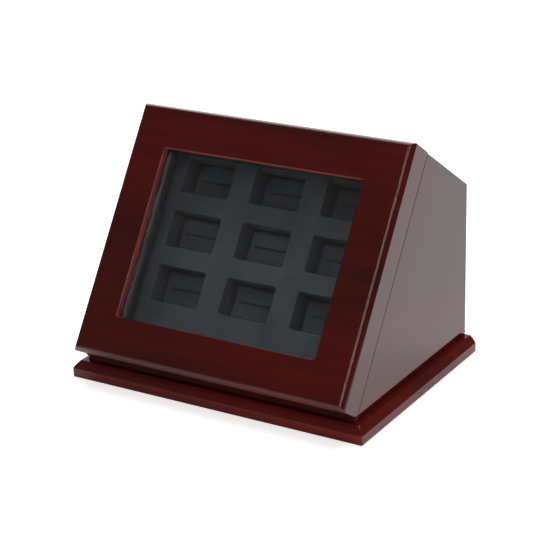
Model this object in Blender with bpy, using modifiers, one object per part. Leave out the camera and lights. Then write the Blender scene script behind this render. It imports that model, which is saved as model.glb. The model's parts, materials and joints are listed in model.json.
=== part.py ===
"""Slant-front display case for rings.

A mitred cabinet stands on a moulded base. Its sloping front is covered by a thick glazed lid, which hinges
along the top edge of the slope, and behind the glass lies a board with three rows of three ring wells.

The origin is the centre of the base's underside: +X is the right side seen from the front, +Y the back
and +Z up. Pieces on the slope are placed in slope coordinates (x, u, n): u runs up the slope from a line
a little above the base, and n stands square to it, outwards.
"""

import math

import bmesh
import bpy
from mathutils import Matrix, Vector

MM = 0.001
GAP = 0.3 * MM

# Cabinet
CASE_WIDTH = 216 * MM
CASE_DEPTH = 162 * MM
SLOPE_ANGLE = math.radians(56.3)
SLOPE_RISE = 3.7 * MM
SLOPE_LENGTH = 181 * MM
TOP_FALL = math.radians(33.1)
PANEL_THICKNESS = 10 * MM
RAIL_HEIGHT = 22 * MM

# Base
BASE_HEIGHT = 12.3 * MM
FELT_THICKNESS = 1 * MM
FELT_INSET = 3 * MM
BASE_SIDE_OVERHANG = 8.5 * MM
BASE_FRONT_OVERHANG = 10 * MM
BASE_BAND_HEIGHT = 7 * MM
BASE_ARC_WIDTH = 4.4 * MM
BASE_ARC_FOOT_ANGLE = math.radians(57)
BASE_ARC_TOP_ANGLE = math.radians(39)
BASE_FOOT_ROUND = 0.6 * MM

# Lid
LID_FOOT = -1.8 * MM
LID_LENGTH = 183.6 * MM
LID_SIDE_HEIGHT = 19.2 * MM
LID_THICKNESS = 24 * MM
LID_STEP_HEIGHT = 0.8 * MM
LID_STEP_WIDTH = 0.5 * MM
LID_ARC_WIDTH = 2.4 * MM
LID_ARC_FOOT_ANGLE = math.radians(64)
LID_ARC_TOP_ANGLE = math.radians(50)
WINDOW_WIDTH = 158.4 * MM
WINDOW_HEIGHT = 124.2 * MM
WINDOW_CENTRE_U = 89.1 * MM
WINDOW_CORNER = 2.5 * MM
WINDOW_ARRIS = 0.5 * MM
WINDOW_LIP = 4.8 * MM
REBATE = 5 * MM
GLASS_THICKNESS = 2 * MM
GLASS_PLAY = 0.6 * MM
STRIP_THICKNESS = 3 * MM
STRIP_END = 2 * MM

# Ring board
PAD_DEPTH = 7.4 * MM
PAD_THICKNESS = 22 * MM
BACKING_THICKNESS = 3 * MM
CLEAT_SIZE = 10 * MM
CLEAT_FOOT = 31 * MM
CLEAT_TOP = 165 * MM
LINER_THICKNESS = 1.2 * MM
WELL_WIDTH = 39.3 * MM
WELL_HEIGHT = 26.2 * MM
WELL_PITCH_X = 57.2 * MM
WELL_PITCH_U = 40.4 * MM
WELL_CENTRE_U = 100.9 * MM
CUSHION_THICKNESS = 8 * MM
SLIT_LENGTH = 26 * MM
SLIT_WIDTH = 1.6 * MM
SLIT_DEPTH = 5 * MM

# Hinges
AXIS_U = 182.9 * MM
HINGE_X = 65 * MM
HINGE_WIDTH = 20 * MM
LEAF_FOOT = 172.2 * MM
LEAF_THICKNESS = 0.9 * MM
LEAF_OFFSET = 0.2 * MM
KNUCKLE_RADIUS = 1.75 * MM
KNUCKLE_BORE = 0.9 * MM
MIDDLE_KNUCKLE = 6.6 * MM
PIN_RADIUS = 0.6 * MM
MORTISE_RADIUS = 2.1 * MM
HINGE_SCREW_SPREAD = 6 * MM
HINGE_SCREW_U = 176.4 * MM
HINGE_SCREW_LENGTH = 8 * MM
HINGE_SCREW_HEAD = 1.5 * MM
HINGE_SCREW_SHANK = 0.7 * MM

# Base screws
BASE_SCREW_Y = (-45 * MM, 10 * MM, 62 * MM)
BASE_SCREW_LENGTH = 28 * MM
BASE_SCREW_HEAD = 3.2 * MM
BASE_SCREW_HEAD_HEIGHT = 2.4 * MM
BASE_SCREW_SHANK = 1.4 * MM

HALF_WIDTH = CASE_WIDTH / 2
INNER_HALF_WIDTH = HALF_WIDTH - PANEL_THICKNESS
BASE_DEPTH = CASE_DEPTH + BASE_FRONT_OVERHANG
BACK_Y = BASE_DEPTH / 2
FOOT_Y = BACK_Y - CASE_DEPTH
LID_TOP = LID_FOOT + LID_LENGTH
LINED_TOP = SLOPE_LENGTH - PANEL_THICKNESS - GAP
LINED_FOOT = RAIL_HEIGHT + GAP

X_AXIS = Vector((1, 0, 0))
Y_AXIS = Vector((0, 1, 0))
Z_AXIS = Vector((0, 0, 1))
SLOPE_FOOT = Vector((0, FOOT_Y, BASE_HEIGHT + SLOPE_RISE))
SLOPE_UP = Vector((0, math.cos(SLOPE_ANGLE), math.sin(SLOPE_ANGLE)))
SLOPE_OUT = Vector((0, -math.sin(SLOPE_ANGLE), math.cos(SLOPE_ANGLE)))
TOP_OUT = Vector((0, math.sin(TOP_FALL), math.cos(TOP_FALL)))
TOP_FRONT = SLOPE_FOOT + SLOPE_UP * SLOPE_LENGTH


def new_collection(name):
    collection = bpy.data.collections.new(name)
    bpy.context.scene.collection.children.link(collection)
    return collection


def new_material(name, colour, roughness, metallic=0.0, transmission=0.0):
    material = bpy.data.materials.new(name)
    material.use_nodes = True
    shader = material.node_tree.nodes["Principled BSDF"]
    shader.inputs["Base Color"].default_value = (*colour, 1.0)
    shader.inputs["Roughness"].default_value = roughness
    shader.inputs["Metallic"].default_value = metallic
    shader.inputs["Transmission Weight"].default_value = transmission
    return material


def clear_scene():
    for thing in list(bpy.data.objects):
        bpy.data.objects.remove(thing)


clear_scene()
PARTS = new_collection("ring_display_case")
CUTTERS = new_collection("cutters")
LACQUER = new_material("cherry_lacquer", (0.075, 0.014, 0.009), 0.16)
RAW_WOOD = new_material("plain_wood", (0.42, 0.30, 0.19), 0.75)
VELVET = new_material("black_velvet", (0.016, 0.017, 0.020), 0.95)
FELT = new_material("black_felt", (0.020, 0.020, 0.022), 0.95)
GLASS = new_material("clear_glass", (0.95, 0.97, 0.97), 0.03, transmission=1.0)
BRASS = new_material("brass", (0.78, 0.56, 0.25), 0.25, metallic=1.0)
STEEL = new_material("zinc_steel", (0.62, 0.62, 0.62), 0.35, metallic=1.0)


def new_frame(name, u):
    """An empty on the slope at height u, whose own axes are slope coordinates."""
    frame = bpy.data.objects.new(name, None)
    frame.location = SLOPE_FOOT + SLOPE_UP * u
    frame.rotation_euler = (SLOPE_ANGLE, 0, 0)
    frame["slope_u"] = u
    PARTS.objects.link(frame)
    return frame


SLOPE_FRAME = new_frame("slope_frame", 0)
LID_FRAME = new_frame("lid_hinge_axis", AXIS_U)


def new_object(name, shape, material=None, frame=None, centre=(0, 0, 0)):
    """An object from a bmesh. With no material it is a cutter. Its centre is in slope coordinates if it has a frame."""
    mesh = bpy.data.meshes.new(name)
    shape.to_mesh(mesh)
    shape.free()
    thing = bpy.data.objects.new(name, mesh)
    thing.location = centre
    if frame:
        thing.parent = frame
        thing.location.y -= frame["slope_u"]
    if material:
        mesh.materials.append(material)
        PARTS.objects.link(thing)
    else:
        CUTTERS.objects.link(thing)
        thing.hide_render = True
        thing.display_type = "WIRE"
    return thing


def box_shape(size):
    shape = bmesh.new()
    bmesh.ops.create_cube(shape, size=1.0)
    bmesh.ops.scale(shape, vec=size, verts=shape.verts)
    return shape


def add_box(name, low, high, material=None, frame=None):
    """A box between two corners."""
    low, high = Vector(low), Vector(high)
    return new_object(name, box_shape(high - low), material, frame, (low + high) / 2)


def add_cylinder(name, radius, length, centre, along, material=None, frame=None, end_radius=None, sides=16):
    """A cylinder, or a cone whose radius changes to end_radius along the given axis."""
    shape = bmesh.new()
    bmesh.ops.create_cone(
        shape,
        cap_ends=True,
        segments=sides,
        radius1=radius,
        radius2=radius if end_radius is None else end_radius,
        depth=length,
    )
    turn = Z_AXIS.rotation_difference(Vector(along)).to_matrix()
    bmesh.ops.rotate(shape, matrix=turn, verts=shape.verts)
    return smooth(new_object(name, shape, material, frame, centre))


def smooth(thing):
    thing.data.shade_smooth()
    thing.data.set_sharp_from_angle(angle=math.radians(30))
    return thing


def use_boolean(thing, other, operation="DIFFERENCE"):
    modifier = thing.modifiers.new(other.name, "BOOLEAN")
    modifier.object = other
    modifier.operation = operation
    modifier.solver = "EXACT"


def cut_away(shape, point, direction):
    """Removes what lies beyond a plane on the direction's side, less half a gap, and closes the cut."""
    direction = direction.normalized()
    cut = bmesh.ops.bisect_plane(
        shape,
        geom=shape.verts[:] + shape.edges[:] + shape.faces[:],
        plane_co=point - direction * GAP / 2,
        plane_no=direction,
        clear_outer=True,
    )
    rim = [item for item in cut["geom_cut"] if isinstance(item, bmesh.types.BMEdge)]
    bmesh.ops.contextual_create(shape, geom=rim)
    bmesh.ops.recalc_face_normals(shape, faces=shape.faces)


def grow_step(shape, face, inset, rise):
    """Adds one step of a moulding: a smaller copy of the face, moved out by rise."""
    if inset == 0:
        grown = bmesh.ops.extrude_discrete_faces(shape, faces=[face])["faces"][0]
        bmesh.ops.translate(shape, vec=grown.normal * rise, verts=grown.verts)
        return grown
    bmesh.ops.inset_region(shape, faces=[face], thickness=inset, depth=rise, use_even_offset=True)
    return face


def shallow_arc(width, height, foot_angle, top_angle, steps):
    """(inset, rise) of each step of a shallow arc, whose slope eases from foot_angle to top_angle above level."""
    angles = [foot_angle + (top_angle - foot_angle) * k / steps for k in range(steps + 1)]
    across = width / (math.sin(foot_angle) - math.sin(top_angle))
    up = height / (math.cos(top_angle) - math.cos(foot_angle))
    points = [(-across * math.sin(a), up * math.cos(a)) for a in angles]
    return [(b[0] - a[0], b[1] - a[1]) for a, b in zip(points, points[1:])]


def top_face(shape):
    shape.faces.ensure_lookup_table()
    return max(shape.faces, key=lambda face: face.calc_center_median().z)


def make_base():
    """The base board, flush at the back, with its moulding round the front and sides, and the felt let in below it.

    The moulding is an upright band below a shallow arc.
    """
    bottom = GAP
    half_x = HALF_WIDTH + BASE_SIDE_OVERHANG
    shape = box_shape((2 * half_x, BASE_DEPTH + BASE_SIDE_OVERHANG, BASE_BAND_HEIGHT - bottom))
    foot = [edge for edge in shape.edges if all(v.co.z < 0 for v in edge.verts)]
    bmesh.ops.bevel(
        shape, geom=foot, offset=BASE_FOOT_ROUND, segments=3, profile=0.5, affect="EDGES", clamp_overlap=True
    )
    face = top_face(shape)
    arc_height = BASE_HEIGHT - BASE_BAND_HEIGHT
    for inset, rise in shallow_arc(BASE_ARC_WIDTH, arc_height, BASE_ARC_FOOT_ANGLE, BASE_ARC_TOP_ANGLE, 5):
        face = grow_step(shape, face, inset, rise)
    centre = Vector((0, BASE_SIDE_OVERHANG / 2, (bottom + BASE_BAND_HEIGHT) / 2))
    cut_away(shape, Vector((0, BACK_Y + GAP / 2, 0)) - centre, Y_AXIS)
    board = smooth(new_object("base_board", shape, LACQUER, centre=centre))
    corner = Vector((half_x - FELT_INSET, BACK_Y - FELT_INSET, 0))
    add_box("base_felt", -corner, corner + Z_AXIS * FELT_THICKNESS, FELT)
    play = Vector((GAP, GAP, GAP))
    recess = add_box("cut_felt_recess", -corner - play - Z_AXIS * MM, corner + play + Z_AXIS * FELT_THICKNESS)
    use_boolean(board, recess)
    return board


def make_side(name, side):
    """A side panel: square where it meets the base and the lid, mitred to the top and the back."""
    low = Vector((INNER_HALF_WIDTH, -BACK_Y, BASE_HEIGHT + GAP))
    high = Vector((HALF_WIDTH, BACK_Y, TOP_FRONT.z))
    shape = box_shape(high - low)
    bmesh.ops.translate(shape, vec=(low + high) / 2, verts=shape.verts)
    corner = Vector((HALF_WIDTH, BACK_Y, 0))
    ridge = TOP_FRONT + X_AXIS * HALF_WIDTH
    cut_away(shape, SLOPE_FOOT + SLOPE_OUT * GAP / 2, SLOPE_OUT)
    cut_away(shape, ridge + TOP_OUT * GAP / 2, TOP_OUT)
    cut_away(shape, corner, Y_AXIS - X_AXIS)
    cut_away(shape, ridge, TOP_OUT - X_AXIS)
    if side < 0:
        bmesh.ops.scale(shape, vec=(-1, 1, 1), verts=shape.verts)
        bmesh.ops.reverse_faces(shape, faces=shape.faces)
    return new_object(name, shape, LACQUER)


def back_ridge():
    """A point on the outer edge between the top and the back."""
    back_along_top = Vector((0, math.cos(TOP_FALL), -math.sin(TOP_FALL)))
    return TOP_FRONT + back_along_top * (BACK_Y - TOP_FRONT.y) / back_along_top.y


def mitre_ends(shape, outward, point):
    for side in (-1, 1):
        cut_away(shape, point + X_AXIS * side * HALF_WIDTH, X_AXIS * side - outward)


def make_back():
    low = Vector((-HALF_WIDTH, BACK_Y - PANEL_THICKNESS, BASE_HEIGHT + GAP))
    high = Vector((HALF_WIDTH, BACK_Y, TOP_FRONT.z))
    shape = box_shape(high - low)
    bmesh.ops.translate(shape, vec=(low + high) / 2, verts=shape.verts)
    cut_away(shape, back_ridge(), TOP_OUT - Y_AXIS)
    mitre_ends(shape, Y_AXIS, Vector((0, BACK_Y, 0)))
    return new_object("back_panel", shape, LACQUER)


def make_top():
    length = (back_ridge() - TOP_FRONT).length
    shape = box_shape((CASE_WIDTH, 2 * length, PANEL_THICKNESS))
    bmesh.ops.translate(shape, vec=(0, 0, -PANEL_THICKNESS / 2), verts=shape.verts)
    bmesh.ops.rotate(shape, matrix=Matrix.Rotation(-TOP_FALL, 3, "X"), verts=shape.verts)
    bmesh.ops.translate(shape, vec=TOP_FRONT + (back_ridge() - TOP_FRONT) / 2, verts=shape.verts)
    cut_away(shape, SLOPE_FOOT + SLOPE_OUT * GAP / 2, SLOPE_OUT)
    cut_away(shape, back_ridge(), Y_AXIS - TOP_OUT)
    mitre_ends(shape, TOP_OUT, TOP_FRONT)
    return new_object("top_panel", shape, LACQUER)


def make_rail():
    """The low front rail under the lid, whose foot is cut level to stand on the base."""
    half_x = INNER_HALF_WIDTH - GAP
    foot = -RAIL_HEIGHT
    shape = box_shape((2 * half_x, RAIL_HEIGHT - foot, PANEL_THICKNESS))
    centre = Vector((0, (RAIL_HEIGHT + foot) / 2, -PANEL_THICKNESS / 2))
    down = Vector((0, -SLOPE_UP.z, -SLOPE_OUT.z))
    cut_away(shape, down * (SLOPE_RISE - GAP / 2) - centre, down)
    return new_object("front_rail", shape, LACQUER, SLOPE_FRAME, centre)


def make_ring_board():
    half_x = INNER_HALF_WIDTH - GAP
    back = -PAD_DEPTH - PAD_THICKNESS
    board = add_box("ring_board", (-half_x, LINED_FOOT, back), (half_x, LINED_TOP, -PAD_DEPTH), VELVET, SLOPE_FRAME)
    add_box(
        "backing_board",
        (-half_x, LINED_FOOT + 1 * MM, back - GAP - BACKING_THICKNESS),
        (half_x, LINED_TOP, back - GAP),
        RAW_WOOD,
        SLOPE_FRAME,
    )
    for row in range(3):
        for column in range(3):
            make_well(board, row, column)
    cleat_front = back - 2 * GAP - BACKING_THICKNESS
    for name, side in (("left", -1), ("right", 1)):
        near, far = side * half_x, side * (half_x - CLEAT_SIZE)
        low = (min(near, far), CLEAT_FOOT, cleat_front - CLEAT_SIZE)
        high = (max(near, far), CLEAT_TOP, cleat_front)
        add_box(f"{name}_cleat", low, high, RAW_WOOD, SLOPE_FRAME)


def make_well(board, row, column):
    """One well through the ring board, and the slit cushion at its bottom. Row 1 is the top one."""
    label = f"r{row + 1}_c{column + 1}"
    x = (column - 1) * WELL_PITCH_X
    u = WELL_CENTRE_U + (1 - row) * WELL_PITCH_U
    back = -PAD_DEPTH - PAD_THICKNESS
    half = Vector((WELL_WIDTH / 2, WELL_HEIGHT / 2, 0))
    centre = Vector((x, u, 0))
    well = add_box(
        f"cut_well_{label}", centre - half + Z_AXIS * (back - 1 * MM), centre + half + Z_AXIS * MM, None, SLOPE_FRAME
    )
    use_boolean(board, well)
    inner = half - Vector((GAP, GAP, 0))
    front = back + CUSHION_THICKNESS
    cushion = add_box(
        f"ring_cushion_{label}", centre - inner + Z_AXIS * back, centre + inner + Z_AXIS * front, VELVET, SLOPE_FRAME
    )
    slit = Vector((SLIT_LENGTH / 2, SLIT_WIDTH / 2, SLIT_DEPTH))
    middle = centre + Z_AXIS * front
    use_boolean(cushion, add_box(f"cut_slit_{label}", middle - slit, middle + slit, None, SLOPE_FRAME))


def make_liners():
    """The four velvet strips that line the cabinet between the ring board and the lid."""
    half_x = INNER_HALF_WIDTH - GAP
    inner_x = half_x - LINER_THICKNESS
    low, high = -PAD_DEPTH + GAP, -2 * GAP
    foot, top = LINED_FOOT + LINER_THICKNESS, LINED_TOP - LINER_THICKNESS
    add_box("wall_liner_left", (-half_x, LINED_FOOT, low), (-inner_x, LINED_TOP, high), VELVET, SLOPE_FRAME)
    add_box("wall_liner_right", (inner_x, LINED_FOOT, low), (half_x, LINED_TOP, high), VELVET, SLOPE_FRAME)
    end_x = inner_x - GAP
    add_box("wall_liner_bottom", (-end_x, LINED_FOOT, low), (end_x, foot, high), VELVET, SLOPE_FRAME)
    add_box("wall_liner_top", (-end_x, top, low), (end_x, LINED_TOP, high), VELVET, SLOPE_FRAME)


def window_cutter(back):
    """The window's round-cornered hole, with a small arris at the front, from n = back outwards."""
    front = LID_THICKNESS - WINDOW_ARRIS
    shape = box_shape((WINDOW_WIDTH, WINDOW_HEIGHT, front - back))
    corners = [e for e in shape.edges if abs(e.verts[0].co.z - e.verts[1].co.z) > GAP]
    bmesh.ops.bevel(shape, geom=corners, offset=WINDOW_CORNER, segments=4, profile=0.5, affect="EDGES")
    face = grow_step(shape, top_face(shape), -WINDOW_ARRIS, WINDOW_ARRIS)
    grow_step(shape, face, 0, 1 * MM)
    return new_object("cut_window", shape, None, LID_FRAME, (0, WINDOW_CENTRE_U, (front + back) / 2))


def make_lid():
    shape = box_shape((CASE_WIDTH, LID_LENGTH, LID_SIDE_HEIGHT - GAP))
    face = top_face(shape)
    arc_height = LID_THICKNESS - LID_STEP_HEIGHT - LID_SIDE_HEIGHT
    for inset, rise in shallow_arc(LID_ARC_WIDTH, arc_height, LID_ARC_FOOT_ANGLE, LID_ARC_TOP_ANGLE, 5):
        face = grow_step(shape, face, inset, rise)
    face = grow_step(shape, face, LID_STEP_WIDTH, 0)
    grow_step(shape, face, 0, LID_STEP_HEIGHT)
    centre = (0, LID_FOOT + LID_LENGTH / 2, (GAP + LID_SIDE_HEIGHT) / 2)
    lid = smooth(new_object("lid_panel", shape, LACQUER, LID_FRAME, centre))
    shelf = LID_THICKNESS - WINDOW_LIP
    half_x, half_u = WINDOW_WIDTH / 2 + REBATE, WINDOW_HEIGHT / 2 + REBATE
    low_u, high_u = WINDOW_CENTRE_U - half_u, WINDOW_CENTRE_U + half_u
    use_boolean(lid, window_cutter(shelf - 5 * MM))
    use_boolean(
        lid, add_box("cut_rebate", (-half_x, low_u, -1 * MM), (half_x, high_u, shelf), None, LID_FRAME)
    )
    return lid


def make_glazing():
    """The pane against the rebate's shelf, and the four strips that hold it there."""
    shelf = LID_THICKNESS - WINDOW_LIP
    front = shelf - GAP
    back = front - GLASS_THICKNESS
    half_x = WINDOW_WIDTH / 2 + REBATE
    half_u = WINDOW_HEIGHT / 2 + REBATE
    middle = Vector((0, WINDOW_CENTRE_U, 0))
    pane = Vector((half_x - GLASS_PLAY, half_u - GLASS_PLAY, 0))
    add_box("glass_pane", middle - pane + Z_AXIS * back, middle + pane + Z_AXIS * front, GLASS, LID_FRAME)
    strip_front = back - GAP
    outer_x, outer_u = half_x - GAP, half_u - GAP
    inner_x, inner_u = outer_x - STRIP_THICKNESS, outer_u - STRIP_THICKNESS
    for name, low_x, high_x in (("left", -outer_x, -inner_x), ("right", inner_x, outer_x)):
        low = middle + Vector((low_x, -outer_u, STRIP_END))
        high = middle + Vector((high_x, outer_u, strip_front))
        add_box(f"glazing_strip_{name}", low, high, VELVET, LID_FRAME)
    end_x = inner_x - GAP
    for name, low_u, high_u in (("bottom", -outer_u, -inner_u), ("top", inner_u, outer_u)):
        low = middle + Vector((-end_x, low_u, STRIP_END))
        high = middle + Vector((end_x, high_u, strip_front))
        add_box(f"glazing_strip_{name}", low, high, VELVET, LID_FRAME)


def make_leaf(name, x, frame, outward, knuckles):
    """A hinge leaf: a plate in the joint between cabinet and lid, on the outward side, and its knuckles."""
    near, far = outward * LEAF_OFFSET, outward * (LEAF_OFFSET + LEAF_THICKNESS)
    low_n, high_n = min(near, far), max(near, far)
    plate_top = AXIS_U - KNUCKLE_RADIUS - GAP
    half = HINGE_WIDTH / 2
    leaf = add_box(name, (x - half, LEAF_FOOT, low_n), (x + half, plate_top, high_n), BRASS, frame)
    for k, (start, end) in enumerate(knuckles):
        neck = add_box(
            f"cut_{name}_neck_{k}", (x + start, plate_top - MM, low_n), (x + end, AXIS_U, high_n), None, frame
        )
        middle = (x + (start + end) / 2, AXIS_U, 0)
        barrel = add_cylinder(
            f"cut_{name}_knuckle_{k}", KNUCKLE_RADIUS, end - start, middle, X_AXIS, None, frame, sides=24
        )
        use_boolean(leaf, neck, "UNION")
        use_boolean(leaf, barrel, "UNION")
    bore = add_cylinder(
        f"cut_{name}_bore", KNUCKLE_BORE, HINGE_WIDTH + MM, (x, AXIS_U, 0), X_AXIS, None, frame, sides=16
    )
    use_boolean(leaf, bore)
    return leaf


def add_hinge_screw(name, x, frame, outward, leaf, wood):
    """A countersunk screw through a leaf into the wood, with its holes in both."""
    sink = 0.1 * MM
    head_n = outward * LEAF_OFFSET + outward * sink
    add_turned_screw(
        name,
        HINGE_SCREW_HEAD,
        HINGE_SCREW_HEAD - HINGE_SCREW_SHANK,
        HINGE_SCREW_SHANK,
        HINGE_SCREW_LENGTH,
        (x, HINGE_SCREW_U, head_n),
        BRASS,
        frame,
        outward,
    )
    middle = Vector((x, HINGE_SCREW_U, outward * (LEAF_OFFSET + LEAF_THICKNESS / 2)))
    reach = LEAF_THICKNESS + 2 * sink
    countersink = add_cylinder(
        f"cut_{name}_sink",
        HINGE_SCREW_HEAD + GAP,
        reach,
        middle,
        Z_AXIS * outward,
        None,
        frame,
        HINGE_SCREW_SHANK + GAP,
    )
    use_boolean(leaf, countersink)
    hole = add_cylinder(
        f"cut_{name}_hole",
        HINGE_SCREW_SHANK + GAP,
        2 * (HINGE_SCREW_LENGTH + MM),
        (x, HINGE_SCREW_U, 0),
        Z_AXIS,
        None,
        frame,
    )
    use_boolean(wood, hole)


def add_turned_screw(name, head, head_height, shank, length, location, material, frame=None, direction=1):
    """A countersunk screw, turned about Z from its head at the origin, which points along +Z or, with -1, along -Z."""
    tip = 2 * shank
    outline = [(0, length), (shank, length - tip), (shank, head_height), (head, 0), (0, 0)]
    mesh = bpy.data.meshes.new(name)
    mesh.from_pydata([(x, 0, z) for x, z in outline], [(k, k + 1) for k in range(len(outline) - 1)], [])
    mesh.materials.append(material)
    screw = bpy.data.objects.new(name, mesh)
    PARTS.objects.link(screw)
    screw.location = location
    if frame:
        screw.parent = frame
        screw.location.y -= frame["slope_u"]
    if direction < 0:
        screw.rotation_euler = (math.pi, 0, 0)
    turn = screw.modifiers.new("turn", "SCREW")
    turn.steps = 14
    turn.render_steps = 14
    turn.use_merge_vertices = True
    turn.merge_threshold = 0.00001
    turn.use_smooth_shade = True
    return screw


def make_hinge(name, x, lid, top):
    """A three-knuckle butt hinge let into the top panel's front edge and the lid's back."""
    half = HINGE_WIDTH / 2
    inner = MIDDLE_KNUCKLE / 2
    case_leaf = make_leaf(
        f"hinge_{name}_case_leaf", x, SLOPE_FRAME, -1, ((-half, -inner - GAP), (inner + GAP, half))
    )
    lid_leaf = make_leaf(f"hinge_{name}_lid_leaf", x, LID_FRAME, 1, ((-inner, inner),))
    add_cylinder(
        f"hinge_{name}_pin", PIN_RADIUS, HINGE_WIDTH - 2 * GAP, (x, AXIS_U, 0), X_AXIS, BRASS, SLOPE_FRAME, sides=12
    )
    depth = LEAF_OFFSET + LEAF_THICKNESS + GAP
    recess = add_box(
        f"cut_{name}_recess",
        (x - half - GAP, LEAF_FOOT - GAP, -depth),
        (x + half + GAP, AXIS_U, depth),
        None,
        SLOPE_FRAME,
    )
    groove = add_cylinder(
        f"cut_{name}_groove", MORTISE_RADIUS, HINGE_WIDTH + 2 * GAP, (x, AXIS_U, 0), X_AXIS, None, SLOPE_FRAME, sides=24
    )
    for wood in (lid, top):
        use_boolean(wood, recess)
        use_boolean(wood, groove)
    for k, offset in enumerate((-HINGE_SCREW_SPREAD, HINGE_SCREW_SPREAD)):
        add_hinge_screw(f"hinge_{name}_case_screw_{k + 1}", x + offset, SLOPE_FRAME, -1, case_leaf, top)
        add_hinge_screw(f"hinge_{name}_lid_screw_{k + 1}", x + offset, LID_FRAME, 1, lid_leaf, lid)


def add_base_screws(board, sides):
    """The screws that come up through the base into the side panels, hidden by the felt."""
    bottom = FELT_THICKNESS + 2 * GAP
    for name, side in (("left", -1), ("right", 1)):
        x = side * (HALF_WIDTH - PANEL_THICKNESS / 2)
        for k, y in enumerate(BASE_SCREW_Y):
            label = f"base_screw_{name}_{k + 1}"
            add_turned_screw(
                label,
                BASE_SCREW_HEAD,
                BASE_SCREW_HEAD_HEIGHT,
                BASE_SCREW_SHANK,
                BASE_SCREW_LENGTH,
                (x, y, bottom),
                STEEL,
            )
            hole = add_cylinder(
                f"cut_{label}_hole", BASE_SCREW_SHANK + GAP, 2 * (BASE_SCREW_LENGTH + MM), (x, y, bottom), Z_AXIS
            )
            sink_height = BASE_SCREW_HEAD_HEIGHT + 2 * GAP
            sink = add_cylinder(
                f"cut_{label}_sink",
                BASE_SCREW_HEAD + 2 * GAP,
                sink_height,
                (x, y, bottom + sink_height / 2 - 2 * GAP),
                Z_AXIS,
                end_radius=BASE_SCREW_SHANK + 2 * GAP,
            )
            use_boolean(board, hole)
            use_boolean(board, sink)
            use_boolean(sides[name], hole)


def build():
    board = make_base()
    sides = {"left": make_side("left_side_panel", -1), "right": make_side("right_side_panel", 1)}
    make_back()
    top = make_top()
    make_rail()
    make_ring_board()
    make_liners()
    lid = make_lid()
    make_glazing()
    make_hinge("left", -HINGE_X, lid, top)
    make_hinge("right", HINGE_X, lid, top)
    add_base_screws(board, sides)


build()
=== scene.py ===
"""Looks of the slant-front ring display case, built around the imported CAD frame.

Positions repeat the CAD model's own measures. Pieces on the slope are built in slope coordinates (x, u, n):
u runs up the slope from a line a little above the base, and n stands square to it, outwards.
"""

import json
import math

import bmesh
import bpy
from mathutils import Matrix, Vector

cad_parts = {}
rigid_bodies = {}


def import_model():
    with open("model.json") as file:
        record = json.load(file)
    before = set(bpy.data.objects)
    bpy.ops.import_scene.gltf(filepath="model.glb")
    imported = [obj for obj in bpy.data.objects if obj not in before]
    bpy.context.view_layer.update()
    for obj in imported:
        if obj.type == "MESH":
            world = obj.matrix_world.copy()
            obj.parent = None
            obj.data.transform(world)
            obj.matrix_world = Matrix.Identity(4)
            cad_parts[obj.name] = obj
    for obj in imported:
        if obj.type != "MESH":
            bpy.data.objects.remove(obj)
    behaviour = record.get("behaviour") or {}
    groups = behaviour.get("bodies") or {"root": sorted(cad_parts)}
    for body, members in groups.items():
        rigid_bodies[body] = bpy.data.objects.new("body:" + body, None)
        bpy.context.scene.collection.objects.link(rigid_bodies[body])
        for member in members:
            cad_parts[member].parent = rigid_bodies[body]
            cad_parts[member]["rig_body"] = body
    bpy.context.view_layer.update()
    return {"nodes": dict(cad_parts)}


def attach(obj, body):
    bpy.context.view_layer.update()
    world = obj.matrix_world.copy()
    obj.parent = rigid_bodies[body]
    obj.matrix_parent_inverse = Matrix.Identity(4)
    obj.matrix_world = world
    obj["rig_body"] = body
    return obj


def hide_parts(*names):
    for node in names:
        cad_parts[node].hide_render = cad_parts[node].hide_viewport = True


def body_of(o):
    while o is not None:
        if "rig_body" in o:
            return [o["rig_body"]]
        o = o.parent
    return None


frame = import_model()

MM = 0.001
TINY = 1e-7
SHARP_ANGLE = 35

# Measures of the CAD model, in metres
HALF_WIDTH = 108 * MM
PANEL = 10 * MM
BACK_Y = 86 * MM
BASE_HALF_WIDTH = HALF_WIDTH + 8.5 * MM
BASE_BOTTOM = 0.3 * MM
BASE_BAND = 7 * MM
BASE_TOP = 12.3 * MM
BASE_ARC_WIDTH = 4.4 * MM
FELT_INSET = 3 * MM
FELT_THICKNESS = 1 * MM
BASE_SCREW_X = 103 * MM
BASE_SCREW_Y = (-45 * MM, 10 * MM, 62 * MM)
BASE_SCREW_HEAD_Z = 1.6 * MM
SLOPE_RISE = 3.7 * MM
SLOPE_ANGLE = math.radians(56.3)
SLOPE_LENGTH = 181 * MM
TOP_FALL = math.radians(33.1)
SLOPE_FOOT = Vector((0, -76 * MM, BASE_TOP + SLOPE_RISE))
SLOPE_UP = Vector((0, math.cos(SLOPE_ANGLE), math.sin(SLOPE_ANGLE)))
TOP_OUT = Vector((0, math.sin(TOP_FALL), math.cos(TOP_FALL)))
TO_SLOPE = Matrix.Translation(SLOPE_FOOT) @ Matrix.Rotation(SLOPE_ANGLE, 4, "X")
LID_FOOT, LID_TOP = -1.8 * MM, 181.8 * MM
LID_SIDE, LID_FACE = 19.2 * MM, 24 * MM
LID_BACK = 0.3 * MM
LID_ARC_WIDTH = 2.4 * MM
LID_STEP_IN, LID_STEP_UP = 0.5 * MM, 0.8 * MM
WINDOW_HALF = Vector((79.2 * MM, 62.1 * MM))
WINDOW_U = 89.1 * MM
WINDOW_LIP = 4.8 * MM
REBATE = 5 * MM
PANE_LOW = Vector((-83.6 * MM, 22.6 * MM, 16.9 * MM))
PANE_HIGH = Vector((83.6 * MM, 155.6 * MM, 18.9 * MM))
AXIS_U = 182.9 * MM
HINGE_X = 65 * MM
HINGE_HALF = 10 * MM
LEAF_FOOT_U = 172.2 * MM
LEAF_NEAR, LEAF_FAR = 0.2 * MM, 1.1 * MM
KNUCKLE_RADIUS = 1.75 * MM
HINGE_SCREW_OFFSETS = (-6 * MM, 6 * MM)
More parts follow.
